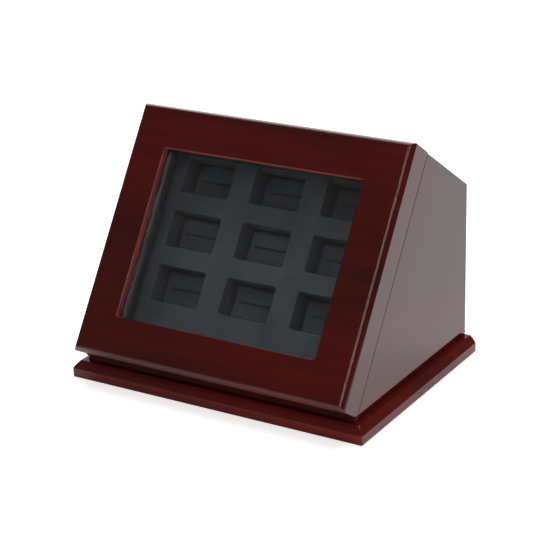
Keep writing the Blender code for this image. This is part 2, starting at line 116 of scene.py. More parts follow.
HINGE_SCREW_U = 176.4 * MM

# Head radius, shank radius, length and head height of the screws
HINGE_SCREW = (1.5 * MM, 0.7 * MM, 8 * MM, 0.8 * MM)
BASE_SCREW = (3.2 * MM, 1.4 * MM, 28 * MM, 2.4 * MM)

# Strengths of the studio's lights
STUDIO_LEVEL = 0.07
BACKDROP_LEVEL = 1.3
FLOOR_LEVEL = 0.55
FLOOR_LEVEL_FOR_CAMERA = 0.7
# Glow that reflections see in front of the base: a painted contact shadow
FLOOR_LEVEL_IN_PAINTED_SHADOW = 0.02


# ---------------------------------------------------------------- camera and light


def add_camera():
    """The camera stands to the right of the front, a little above the object."""
    azimuth, elevation, roll = math.radians(31.58), math.radians(21.45), math.radians(-1.567)
    target, distance = Vector((-0.00534, 0.0104, 0.06404)), 1.2966
    back = Vector(
        (
            math.sin(azimuth) * math.cos(elevation),
            -math.cos(azimuth) * math.cos(elevation),
            math.sin(elevation),
        )
    )
    right = Vector((0, 0, 1)).cross(back).normalized()
    up = back.cross(right)
    across = right * math.cos(roll) + up * math.sin(roll)
    upward = up * math.cos(roll) - right * math.sin(roll)
    lens = bpy.data.cameras.new("camera")
    lens.sensor_width = 36
    lens.lens = 119.6
    lens.clip_start = 0.05
    lens.clip_end = 50
    camera = bpy.data.objects.new("camera", lens)
    turn = Matrix((across, upward, back)).transposed().to_4x4()
    camera.matrix_world = Matrix.Translation(target + back * distance) @ turn
    bpy.context.scene.collection.objects.link(camera)
    bpy.context.scene.camera = camera


def add_softbox(name, place, aim, size, power, colour=(1, 1, 1)):
    light = bpy.data.lights.new(name, "AREA")
    light.shape = "RECTANGLE"
    light.size, light.size_y = size
    light.energy = power
    light.color = colour
    lamp = bpy.data.objects.new(name, light)
    direction = Vector(aim) - Vector(place)
    lamp.location = place
    lamp.rotation_euler = direction.to_track_quat("-Z", "Y").to_euler()
    bpy.context.scene.collection.objects.link(lamp)
    return lamp


def map_range(tree, value, source, target=(0, 1), smooth=False):
    """The value, mapped from the source span to the target span."""
    node = tree.nodes.new("ShaderNodeMapRange")
    if smooth:
        node.interpolation_type = "SMOOTHSTEP"
    node.inputs["From Min"].default_value, node.inputs["From Max"].default_value = source
    node.inputs["To Min"].default_value, node.inputs["To Max"].default_value = target
    tree.links.new(value, node.inputs["Value"])
    return node.outputs[0]


def calculate(tree, operation, *values):
    """A math node's result. Each value is a socket or a number."""
    node = tree.nodes.new("ShaderNodeMath")
    node.operation = operation
    for socket, value in zip(node.inputs, values):
        if isinstance(value, bpy.types.NodeSocket):
            tree.links.new(value, socket)
        else:
            socket.default_value = value
    return node.outputs[0]


def coordinates(tree, kind):
    """The X, Y and Z sockets of a texture coordinate."""
    place = tree.nodes.new("ShaderNodeTexCoord")
    split = tree.nodes.new("ShaderNodeSeparateXYZ")
    tree.links.new(place.outputs[kind], split.inputs[0])
    return split.outputs


def add_world():
    """Dim studio all round, a bright low backdrop behind on the left, and white for the camera."""
    world = bpy.data.worlds.new("studio")
    world.use_nodes = True
    bpy.context.scene.world = world
    tree = world.node_tree
    tree.nodes.clear()
    # x, y and z are the parts of a direction. Each span says where the backdrop fades in along one.
    x, y, z = coordinates(tree, "Generated")
    low = map_range(tree, z, (0.46, 0.36), smooth=True)
    behind = map_range(tree, y, (0.0, 0.5), smooth=True)
    leftward = map_range(tree, x, (0.05, -0.25), smooth=True)
    backdrop = calculate(tree, "MULTIPLY", calculate(tree, "MULTIPLY", low, behind), leftward)
    lit, white = (tree.nodes.new("ShaderNodeBackground") for _ in range(2))
    lit.inputs["Color"].default_value = white.inputs["Color"].default_value = (1, 1, 1, 1)
    white.inputs["Strength"].default_value = 1.0
    level = map_range(tree, backdrop, (0, 1), (STUDIO_LEVEL, BACKDROP_LEVEL))
    tree.links.new(level, lit.inputs["Strength"])
    path = tree.nodes.new("ShaderNodeLightPath")
    pick = tree.nodes.new("ShaderNodeMixShader")
    out = tree.nodes.new("ShaderNodeOutputWorld")
    tree.links.new(path.outputs["Is Camera Ray"], pick.inputs["Fac"])
    tree.links.new(lit.outputs[0], pick.inputs[1])
    tree.links.new(white.outputs[0], pick.inputs[2])
    tree.links.new(pick.outputs[0], out.inputs["Surface"])


def floor_glow(tree):
    """Strength of the floor's own light, which leaves the floor white and with only a faint shadow.

    A glowing floor casts no dark contact shadow, so a painted one takes its place: in front of the base,
    reflections see hardly any glow.
    """
    front_y, left_x = -96 * MM, -104 * MM
    x, y, _ = coordinates(tree, "Object")
    distance = calculate(tree, "ABSOLUTE", calculate(tree, "ADD", y, -front_y))
    ahead = map_range(tree, distance, (24 * MM, 8 * MM), smooth=True)
    across = map_range(tree, x, (left_x - 24 * MM, left_x), smooth=True)
    path = tree.nodes.new("ShaderNodeLightPath")
    shade = calculate(tree, "MULTIPLY", ahead, across)
    painted_shadow_level = map_range(tree, path.outputs["Is Diffuse Ray"], (0, 1), (FLOOR_LEVEL_IN_PAINTED_SHADOW, FLOOR_LEVEL))
    level = map_range(tree, shade, (0, 1), (FLOOR_LEVEL, FLOOR_LEVEL))
    tree.links.new(painted_shadow_level, level.node.inputs["To Max"])
    glow = tree.nodes.new("ShaderNodeMix")
    tree.links.new(path.outputs["Is Camera Ray"], glow.inputs[0])
    tree.links.new(level, glow.inputs[2])
    glow.inputs[3].default_value = FLOOR_LEVEL_FOR_CAMERA
    return glow.outputs[0]


def add_floor():
    """A round sheet of pale paper, wide enough to fill every view."""
    shape = bmesh.new()
    bmesh.ops.create_circle(shape, cap_ends=True, segments=96, radius=8)
    mesh = bpy.data.meshes.new("floor")
    shape.to_mesh(mesh)
    shape.free()
    floor = bpy.data.objects.new("floor", mesh)
    bpy.context.scene.collection.objects.link(floor)
    paper = bpy.data.materials.new("floor_paper")
    paper.use_nodes = True
    shader = paper.node_tree.nodes["Principled BSDF"]
    shader.inputs["Base Color"].default_value = (0.88, 0.88, 0.88, 1)
    shader.inputs["Roughness"].default_value = 1.0
    shader.inputs["Specular IOR Level"].default_value = 0.0
    shader.inputs["Emission Color"].default_value = (1, 1, 1, 1)
    paper.node_tree.links.new(floor_glow(paper.node_tree), shader.inputs["Emission Strength"])
    mesh.materials.append(paper)


add_camera()
add_world()
add_floor()
bpy.context.scene.view_settings.view_transform = "Standard"
bpy.context.scene.view_settings.look = "None"
add_softbox("overhead", (-0.15, 0.45, 1.9), (0, 0, 0), (1.7, 1.7), 30)
FRONT_RIGHT = ((0.75, -1.35, 1.25), (0, 0, 0.05))
add_softbox("front_right", *FRONT_RIGHT, (0.4, 0.9), 4.5, (1, 0.9, 0.88))
# This lamp is there only for the highlights along the lid's moulded edge.
glint = add_softbox("glint", *FRONT_RIGHT, (0.7, 0.9), 60, (1, 0.78, 0.72))
glint.visible_diffuse = False
glint_receivers = bpy.data.collections.new("glint_receivers")
glint.light_linking.receiver_collection = glint_receivers


# ---------------------------------------------------------------- materials


class Finish:
    """A procedural material under construction."""

    def __init__(self, name):
        self.material = bpy.data.materials.new(name)
        self.material.use_nodes = True
        self.tree = self.material.node_tree
        self.shader = self.tree.nodes["Principled BSDF"]
        self.place = self.tree.nodes.new("ShaderNodeTexCoord").outputs["Object"]

    def set(self, **values):
        for name, value in values.items():
            self.shader.inputs[name.replace("_", " ")].default_value = value

    def stretched(self, scale):
        """Object coordinates, scaled along each axis."""
        mapping = self.tree.nodes.new("ShaderNodeMapping")
        mapping.inputs["Scale"].default_value = scale
        self.tree.links.new(self.place, mapping.inputs["Vector"])
        return mapping.outputs[0]

    def noise(self, scale, stretch=(1, 1, 1), detail=4.0, roughness=0.5, distortion=0.0):
        noise = self.tree.nodes.new("ShaderNodeTexNoise")
        noise.inputs["Scale"].default_value = scale
        noise.inputs["Detail"].default_value = detail
        noise.inputs["Roughness"].default_value = roughness
        noise.inputs["Distortion"].default_value = distortion
        self.tree.links.new(self.stretched(stretch), noise.inputs["Vector"])
        return noise.outputs["Fac"]

    def ramp(self, value, *stops):
        """A colour ramp of (position, colour) stops."""
        ramp = self.tree.nodes.new("ShaderNodeValToRGB")
        elements = ramp.color_ramp.elements
        while len(elements) < len(stops):
            elements.new(0.5)
        for element, (place, colour) in zip(elements, stops):
            element.position = place
            element.color = (*colour, 1)
        self.tree.links.new(value, ramp.inputs["Fac"])
        return ramp.outputs["Color"]

    def span(self, value, low, high, start=0.0, end=1.0):
        """Value mapped from start..end to low..high."""
        return map_range(self.tree, value, (start, end), (low, high))

    def mix(self, share, first, second, blend="MIX"):
        mix = self.tree.nodes.new("ShaderNodeMix")
        mix.data_type = "RGBA"
        mix.blend_type = blend
        for socket, value in (("Factor", share), ("A", first), ("B", second)):
            target = [s for s in mix.inputs if s.name == socket and s.enabled][0]
            if isinstance(value, bpy.types.NodeSocket):
                self.tree.links.new(value, target)
            else:
                target.default_value = value
        return [s for s in mix.outputs if s.enabled][0]

    def feed(self, name, value):
        self.tree.links.new(value, self.shader.inputs[name])

    def bump(self, *layers):
        """Layers of (height, strength, distance), the finest last."""
        normal = None
        for height, strength, distance in layers:
            bump = self.tree.nodes.new("ShaderNodeBump")
            bump.inputs["Strength"].default_value = strength
            bump.inputs["Distance"].default_value = distance
            self.tree.links.new(height, bump.inputs["Height"])
            if normal:
                self.tree.links.new(normal, bump.inputs["Normal"])
            normal = bump.outputs[0]
        self.feed("Normal", normal)


def along_grain(along, stretch):
    """Texture scale that is drawn out along the grain's axis."""
    return [stretch if axis == along else 1 for axis in "XYZ"]


# Stain colours, each at its place on the colour ramp, and the colour of the pores
CHERRY_SHADES = (
    (0.30, (0.056, 0.0056, 0.0040)),
    (0.52, (0.070, 0.0068, 0.0049)),
    (0.72, (0.086, 0.0084, 0.0060)),
)
CHERRY_PORES = (0.036, 0.0040, 0.0032)


def lacquered_wood(name, along, tone=1.0, coat=1.0, pale=0.0):
    """Dark cherry stain under clear gloss lacquer. The grain runs along the axis whose letter is given. A
    tone above 1 and pale lift the colour: lighter copies of the same lacquer, painted light for faces the
    lamps leave too dark.
    """
    finish = Finish(name)
    broad = finish.noise(14, along_grain(along, 0.35), detail=2)
    bands = finish.noise(90, along_grain(along, 0.06), detail=5, roughness=0.6, distortion=0.6)
    pores = finish.noise(520, along_grain(along, 0.03), detail=2)
    # tone and pale lighten the stain here: painted light, not a paler wood
    stops = [(place, tuple(tone * c + pale for c in colour)) for place, colour in CHERRY_SHADES]
    warmth = finish.span(broad, 0.0, 1.0, 0.38, 0.66)
    tint = finish.mix(warmth, (0.78, 0.92, 0.95, 1), (1.30, 1.0, 0.92, 1))
    colour = finish.mix(1.0, finish.ramp(bands, *stops), tint, "MULTIPLY")
    pore_share = finish.span(pores, 0.0, 0.35, 0.58, 0.72)
    finish.feed("Base Color", finish.mix(pore_share, colour, (*(tone * c for c in CHERRY_PORES), 1)))
    finish.feed("Roughness", finish.span(bands, 0.34, 0.50))
    finish.set(Coat_Weight=coat, Coat_Roughness=0.045, Coat_IOR=1.55, Specular_IOR_Level=0.0)
    swell = finish.noise(26, along_grain(along, 0.5), detail=1)
    finish.bump((swell, 0.10, 0.0006), (pores, 0.05, 0.00005))
    return finish.material


def velvet(name, tone, sheen, nap):
    """Short pile, of the given colour, in mottled tufts."""
    finish = Finish(name)
    mottle = finish.noise(38, detail=3, roughness=0.6)
    fibre = finish.noise(2600, detail=2, roughness=0.7)
    base = finish.ramp(mottle, (0.3, tuple(0.75 * c for c in tone)), (0.7, tuple(1.25 * c for c in tone)))
    colour = finish.mix(finish.span(fibre, 0.0, 0.5, 0.35, 0.75), base, tuple(2.2 * c for c in tone) + (1,))
    finish.feed("Base Color", colour)
    finish.feed("Roughness", finish.span(mottle, 0.82, 1.0))
    finish.set(
        Specular_IOR_Level=0.15, Sheen_Weight=sheen, Sheen_Roughness=0.45, Sheen_Tint=(0.82, 0.88, 1.0, 1)
    )
    finish.bump((mottle, 0.25, 0.0004), (fibre, 0.6, nap))
    return finish.material


def raw_wood():
    """Unfinished light wood for what stays out of sight."""
    finish = Finish("plain_wood")
    bands = finish.noise(70, along_grain("X", 0.08), detail=5, roughness=0.6, distortion=0.8)
    pores = finish.noise(420, along_grain("X", 0.04), detail=2)
    shades = ((0.3, (0.30, 0.19, 0.105)), (0.5, (0.42, 0.29, 0.17)), (0.7, (0.52, 0.38, 0.24)))
    finish.feed("Base Color", finish.ramp(bands, *shades))
    finish.feed("Roughness", finish.span(pores, 0.65, 0.85))
    finish.bump((bands, 0.2, 0.0002), (pores, 0.3, 0.0001))
    return finish.material


def metal(name, light, dark, roughness, brushed):
    """Slightly clouded metal, with fine lines along X if it is brushed."""
    finish = Finish(name)
    cloud = finish.noise(160, detail=3)
    lines = finish.noise(900, along_grain("X", 0.05 if brushed else 1), detail=2)
    finish.feed("Base Color", finish.ramp(cloud, (0.3, dark), (0.65, light)))
    finish.feed("Roughness", finish.span(lines, roughness - 0.07, roughness + 0.12, 0.3, 0.7))
    finish.set(Metallic=1.0)
    finish.bump((lines, 0.12, 0.00003))
    return finish.material


def glass():
    """Clear float glass with a trace of wipe haze. Shadow rays pass it, so lamps light what is behind."""
    finish = Finish("clear_glass")
    haze = finish.noise(9, (1, 0.4, 0.4), detail=3, roughness=0.6)
    finish.feed("Roughness", finish.span(haze, 0.0, 0.02, 0.4, 0.7))
    finish.set(Base_Color=(0.985, 0.995, 0.99, 1), Transmission_Weight=1.0, IOR=1.45)
    tree = finish.tree
    path = tree.nodes.new("ShaderNodeLightPath")
    clear = tree.nodes.new("ShaderNodeBsdfTransparent")
    clear.inputs["Color"].default_value = (0.93, 0.95, 0.94, 1)
    pick = tree.nodes.new("ShaderNodeMixShader")
    tree.links.new(path.outputs["Is Shadow Ray"], pick.inputs["Fac"])
    tree.links.new(finish.shader.outputs[0], pick.inputs[1])
    tree.links.new(clear.outputs[0], pick.inputs[2])
    out = [n for n in tree.nodes if n.type == "OUTPUT_MATERIAL"][0]
    tree.links.new(pick.outputs[0], out.inputs["Surface"])
    return finish.material


LACQUER_X = lacquered_wood("cherry_lacquer", "X")
LACQUER_Y = lacquered_wood("cherry_lacquer_sides", "Y")
# Lighter copies of the lacquer, painted light: the base at 1.7 times and its upright band at 2.1 times, for
# light the lamps don't give
BASE_LACQUER_PAINTED_LIGHT = lacquered_wood("cherry_lacquer_base_painted_light", "X", tone=1.7, coat=0.8)
BAND_LACQUER_PAINTED_LIGHT = lacquered_wood("cherry_lacquer_band_painted_light", "X", tone=2.1, coat=0.7)
# A much lighter, paler copy of the lacquer for the window's reveal: painted light on the lit reveal
REVEAL_LACQUER_PAINTED_LIGHT = lacquered_wood("cherry_lacquer_reveal_painted_light", "Y", tone=3.2, coat=0.2, pale=0.035)
VELVET = velvet("black_velvet", (0.058, 0.066, 0.075), sheen=0.08, nap=0.25 * MM)
LINER_VELVET = velvet("liner_velvet", (0.034, 0.038, 0.043), sheen=0.05, nap=0.25 * MM)
CUSHION_VELVET = velvet("cushion_velvet", (0.056, 0.064, 0.074), sheen=0.05, nap=0.25 * MM)
FELT = velvet("black_felt", (0.018, 0.018, 0.020), sheen=0.1, nap=0.4 * MM)
GLASS = glass()
RAW_WOOD = raw_wood()
BRASS = metal("brass", (0.80, 0.58, 0.27), (0.66, 0.45, 0.19), 0.26, True)
STEEL = metal("zinc_steel", (0.66, 0.66, 0.67), (0.50, 0.51, 0.53), 0.38, False)


# ---------------------------------------------------------------- mesh helpers


def fillet(corners, steps=4):
    """A polyline from (a, b, radius) corners, with each corner rounded. The end points stay."""
    points = [tuple(corners[0][:2])]
    for before, corner, after in zip(corners, corners[1:], corners[2:]):
        here = Vector(corner[:2])
        to_before, to_after = Vector(before[:2]) - here, Vector(after[:2]) - here
        half = to_before.angle(to_after) / 2
        reach = corner[2] / math.tan(half)
        if corner[2] <= 0:
            points.append(tuple(here))
            continue
        to_before, to_after = to_before.normalized(), to_after.normalized()
        start, end = here + to_before * reach, here + to_after * reach
        centre = here + (to_before + to_after).normalized() * corner[2] / math.sin(half)
        swing = (start - centre).angle_signed(end - centre)
        for k in range(steps + 1):
            turned = Matrix.Rotation(-swing * k / steps, 2) @ (start - centre)
            points.append(tuple(centre + turned))
    points.append(tuple(corners[-1][:2]))
    return points


def rounded_rectangle(low, high, radius, steps=5):
    """Points anticlockwise round a rectangle, steps + 1 for each corner."""
    points = []
    corners = ((high[0], high[1], 0), (low[0], high[1], 90), (low[0], low[1], 180), (high[0], low[1], 270))
    for x, y, start in corners:
        inward = Vector((-1 if x == high[0] else 1, -1 if y == high[1] else 1))
        centre = Vector((x, y)) + inward * radius
        for k in range(steps + 1):
            angle = math.radians(start + 90 * k / steps)
            points.append((centre.x + radius * math.cos(angle), centre.y + radius * math.sin(angle)))
    return points


def bridge(shape, first, second):
    """Four-sided faces between two closed rings of as many points."""
    count = len(first)
    for k in range(count):
        after = (k + 1) % count
        shape.faces.new((first[k], first[after], second[after], second[k]))


def skin(shape, rings, capped=True):
    """Joins each ring of points to the next, and closes the first and the last."""
    for below, above in zip(rings, rings[1:]):
        bridge(shape, below, above)
    if capped:
        shape.faces.new(rings[0][::-1])
        shape.faces.new(rings[-1])


def add_loop(shape, points, height):
    """A level ring of points."""
    return [shape.verts.new((x, y, height)) for x, y in points]


def finish_piece(name, shape, material, body, nodes, to_world=None, angle=SHARP_ANGLE):
    """Makes the object from a bmesh, ties it to its body and hides the CAD nodes that it stands for."""
    bmesh.ops.remove_doubles(shape, verts=shape.verts, dist=TINY)
    bmesh.ops.recalc_face_normals(shape, faces=shape.faces)
    if to_world is not None:
        shape.transform(to_world)
    mesh = bpy.data.meshes.new(name)
    shape.to_mesh(mesh)
    shape.free()
    mesh.shade_smooth()
    mesh.set_sharp_from_angle(angle=math.radians(angle))
    mesh.materials.append(material)
    piece = bpy.data.objects.new(name, mesh)
    bpy.context.scene.collection.objects.link(piece)
    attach(piece, body)
    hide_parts(*nodes)
    return piece


def apply_modifiers(piece):
    """Keeps what the piece's modifiers make of its mesh, and removes them."""
    bpy.context.view_layer.update()
    graph = bpy.context.evaluated_depsgraph_get()
    mesh = bpy.data.meshes.new_from_object(piece.evaluated_get(graph), depsgraph=graph)
    piece.modifiers.clear()
    old = piece.data
    piece.data = mesh
    mesh.name = piece.name
    bpy.data.meshes.remove(old)


def flatten_normals(piece):
    """Weighted normals, so that large flat faces shade flat beside their rounded edges."""
    weighted = piece.modifiers.new("flat_faces", "WEIGHTED_NORMAL")
    weighted.keep_sharp = True
    weighted.weight = 100
    apply_modifiers(piece)


def box_mesh(low, high):
    shape = bmesh.new()
    bmesh.ops.create_cube(shape, size=1.0)
    low, high = Vector(low), Vector(high)
    bmesh.ops.scale(shape, vec=high - low, verts=shape.verts)
    bmesh.ops.translate(shape, vec=(low + high) / 2, verts=shape.verts)
    return shape


def cylinder_mesh(radius, length, centre, along, segments=48, end_radius=None):
    """A cylinder, or a cone that ends in end_radius, whose axis points along the given vector."""
    shape = bmesh.new()
    bmesh.ops.create_cone(
        shape,
        cap_ends=True,
        segments=segments,
        radius1=radius,
        radius2=radius if end_radius is None else end_radius,
        depth=length,
    )
    turn = Vector((0, 0, 1)).rotation_difference(Vector(along)).to_matrix()
    bmesh.ops.rotate(shape, matrix=turn, verts=shape.verts)
    bmesh.ops.translate(shape, vec=centre, verts=shape.verts)
    return shape


def combine(piece, shapes, operation, to_world=None):
    """Cuts shapes from a piece, or joins them to it, and leaves no modifier."""
    helpers = []
    for shape in shapes:
        if to_world is not None:
            shape.transform(to_world)
        mesh = bpy.data.meshes.new("helper")
        shape.to_mesh(mesh)
        shape.free()
        helper = bpy.data.objects.new("helper", mesh)
        bpy.context.scene.collection.objects.link(helper)
        helpers.append(helper)
        modifier = piece.modifiers.new("combine", "BOOLEAN")
        modifier.operation = operation
        modifier.solver = "EXACT"
        modifier.object = helper
    apply_modifiers(piece)
    for helper in helpers:
        bpy.data.objects.remove(helper)
    piece.data.set_sharp_from_angle(angle=math.radians(SHARP_ANGLE))


def round_edges(piece, width, segments=3, angle=40):
    """Rounds every edge that turns by more than the angle."""
    bevel = piece.modifiers.new("round", "BEVEL")
    bevel.width = width
    bevel.segments = segments
    bevel.limit_method = "ANGLE"
    bevel.angle_limit = math.radians(angle)
    bevel.miter_outer = "MITER_ARC"
    apply_modifiers(piece)
    piece.data.shade_smooth()
    piece.data.set_sharp_from_angle(angle=math.radians(SHARP_ANGLE))


def refine(node, material, width):
    """A copy of a CAD node's shape with its edges eased."""
    source = frame["nodes"][node]
    shape = bmesh.new()
    shape.from_mesh(source.data)
    bmesh.ops.remove_doubles(shape, verts=shape.verts, dist=1e-6)
    bmesh.ops.dissolve_limit(shape, angle_limit=math.radians(0.5), verts=shape.verts, edges=shape.edges)
    body = body_of(source)[0]
    piece = finish_piece(f"{node}_finished", shape, material, body, [node])
    round_edges(piece, width)
    flatten_normals(piece)


# ---------------------------------------------------------------- base


ARC_STEPS = 14


def shallow_arc(width, height, foot_angle, top_angle, steps):
    """(inset, rise) points of a shallow arc, whose slope eases from foot_angle to top_angle above level."""
    foot, top = math.radians(foot_angle), math.radians(top_angle)
    across = width / (math.sin(foot) - math.sin(top))
    up = height / (math.cos(top) - math.cos(foot))
    angles = [foot + (top - foot) * k / steps for k in range(steps + 1)]
    return [(across * (math.sin(foot) - math.sin(a)), up * (math.cos(a) - math.cos(foot))) for a in angles]


def make_base():
    """The moulded board: an upright band below a shallow arc, round the front and both sides."""
    arc = shallow_arc(BASE_ARC_WIDTH, BASE_TOP - BASE_BAND, 57, 39, ARC_STEPS)
    arc = [(inset, BASE_BAND + rise) for inset, rise in arc]
    recess, ceiling = FELT_INSET - 0.3 * MM, 1.3 * MM
    lower = fillet(
        [
            (recess + 2 * MM, ceiling, 0),
            (recess, ceiling, 0.15 * MM),
            (recess, BASE_BOTTOM, 0.2 * MM),
            (0, BASE_BOTTOM, 0.6 * MM),
            (0, BASE_BAND, 0.35 * MM),
            (*arc[1], 0),
        ]
    )
    upper = fillet([(*arc[-2], 0), (*arc[-1], 0.9 * MM), (BASE_ARC_WIDTH + 3 * MM, BASE_TOP, 0)], 8)
    shape = bmesh.new()
    rings = []
    for inset, height in lower[:-1] + arc[1:-2] + upper:
        in_recess = height < ceiling + 0.01 * MM and inset > recess - 0.25 * MM
        back = BACK_Y - inset if in_recess else BACK_Y
        low = (-BASE_HALF_WIDTH + inset, -BACK_Y + inset)
        high = (BASE_HALF_WIDTH - inset, BACK_Y + 20 * MM)
        square_backed = [(x, min(y, back)) for x, y in rounded_rectangle(low, high, 0.9 * MM)]
        rings.append(add_loop(shape, square_backed, height))
    skin(shape, rings)
    bmesh.ops.remove_doubles(shape, verts=shape.verts, dist=TINY)
    bmesh.ops.dissolve_degenerate(shape, edges=shape.edges, dist=TINY)
    nodes = ["base_board"]
    # The base takes a lighter copy of the lacquer: painted light
    base = finish_piece("moulded_base", shape, BASE_LACQUER_PAINTED_LIGHT, "case", nodes, angle=25)
    base.data.materials.append(BAND_LACQUER_PAINTED_LIGHT)
    # Upright faces of the band get a lighter copy still: painted light on the band
    for polygon in base.data.polygons:
        if abs(polygon.normal.z) < 0.1 and polygon.center.z < BASE_BAND:
            polygon.material_index = 1
    flatten_normals(base)


def make_felt():
    """The felt sheet, with its lower edge pressed round."""
    half, depth = BASE_HALF_WIDTH - FELT_INSET, BACK_Y - FELT_INSET
    shape = bmesh.new()
    pressed, cut = 0.25 * MM, 0.2 * MM
    outline = [(pressed, 0.0), (0.0, pressed), (0.0, FELT_THICKNESS - pressed), (cut, FELT_THICKNESS)]
    rings = []
    for inset, height in outline:
        low, high = (-half + inset, -depth + inset), (half - inset, depth - inset)
        rings.append(add_loop(shape, rounded_rectangle(low, high, 3 * MM), height))
    skin(shape, rings)
    felt = finish_piece("base_felt_sheet", shape, FELT, "case", ["base_felt"])
    flatten_normals(felt)


# ---------------------------------------------------------------- cabinet


def keep_side(shape, point, normal):
    """Keeps what lies behind a plane and closes the cut."""
    cut = bmesh.ops.bisect_plane(
        shape,
        geom=shape.verts[:] + shape.edges[:] + shape.faces[:],
        plane_co=point,
        plane_no=normal,
        clear_outer=True,
        dist=TINY,
    )
    rim = [item for item in cut["geom_cut"] if isinstance(item, bmesh.types.BMEdge)]
    bmesh.ops.edgeloop_fill(shape, edges=rim)


def prism(outline, half_x):
    """A (y, z) outline drawn out along X."""
    shape = bmesh.new()
    left = [shape.verts.new((-half_x, y, z)) for y, z in outline]
    right = [shape.verts.new((half_x, y, z)) for y, z in outline]
    bridge(shape, left, right)
    shape.faces.new(left[::-1])
    shape.faces.new(right)
    bmesh.ops.recalc_face_normals(shape, faces=shape.faces)
    return shape


def make_cabinet():
    """The four panels: one eased shell, cut apart at its mitres so that they meet with no gap."""
    front = SLOPE_FOOT - SLOPE_UP * SLOPE_RISE / SLOPE_UP.z
    top = SLOPE_FOOT + SLOPE_UP * SLOPE_LENGTH
    along = Vector((0, math.cos(TOP_FALL), -math.sin(TOP_FALL)))
    ridge = top + along * (BACK_Y - top.y) / along.y
    outline = [(front.y, front.z), (top.y, top.z), (ridge.y, ridge.z), (BACK_Y, BASE_TOP)]
    inner_top = top - TOP_OUT * PANEL
    overrun, below = 60 * MM, -20 * MM
    ahead = inner_top - along * overrun
    inner_ridge = inner_top + along * (BACK_Y - PANEL - inner_top.y) / along.y
    inner = [
        (ahead.y, ahead.z),
        (inner_ridge.y, inner_ridge.z),
        (BACK_Y - PANEL, below),
        (front.y - overrun, below),
    ]
    hollow = prism(inner, HALF_WIDTH - PANEL)
    shell = finish_piece("shell", prism(outline, HALF_WIDTH), LACQUER_X, "case", [])
    combine(shell, [hollow], "DIFFERENCE")
    round_edges(shell, 0.4 * MM)
    back_left = Vector((-HALF_WIDTH, BACK_Y, 0))
    back_right = Vector((HALF_WIDTH, BACK_Y, 0))
    across, depth = Vector((1, 0, 0)), Vector((0, 1, 0))
    top_left, top_right = top - across * HALF_WIDTH, top + across * HALF_WIDTH
    cuts = {
        "left_side_panel": [(back_left, across + depth), (top_left, across + TOP_OUT)],
        "right_side_panel": [(back_right, depth - across), (top_right, TOP_OUT - across)],
        "back_panel": [(back_left, -across - depth), (back_right, across - depth), (ridge, TOP_OUT - depth)],
        "top_panel": [(top_left, -across - TOP_OUT), (top_right, across - TOP_OUT), (ridge, depth - TOP_OUT)],
    }
    for node, planes in cuts.items():
        shape = bmesh.new()
        shape.from_mesh(shell.data)
        for point, normal in planes:
            keep_side(shape, point, normal.normalized())
        name = node.replace("panel", "wall")
        material = LACQUER_Y if "side" in node else LACQUER_X
        piece = finish_piece(name, shape, material, "case", [node])
        if node == "top_panel":
            combine(piece, hinge_pockets(-1), "DIFFERENCE", TO_SLOPE)
        flatten_normals(piece)
    bpy.data.objects.remove(shell)


def hinge_pockets(side):
    """Cutters, in slope coordinates, for the recess and groove of both hinges on one side of the joint."""
    depth, play = 1.4 * MM, 0.3 * MM
    low, high = sorted((side * depth, -side * 2 * MM))
    reach = HINGE_HALF + play
    shapes = []
    for x in (-HINGE_X, HINGE_X):
        shapes.append(box_mesh((x - reach, LEAF_FOOT_U - play, low), (x + reach, AXIS_U, high)))
        shapes.append(cylinder_mesh(2.1 * MM, 2 * reach, (x, AXIS_U, 0), (1, 0, 0)))
    return shapes


# ---------------------------------------------------------------- lid


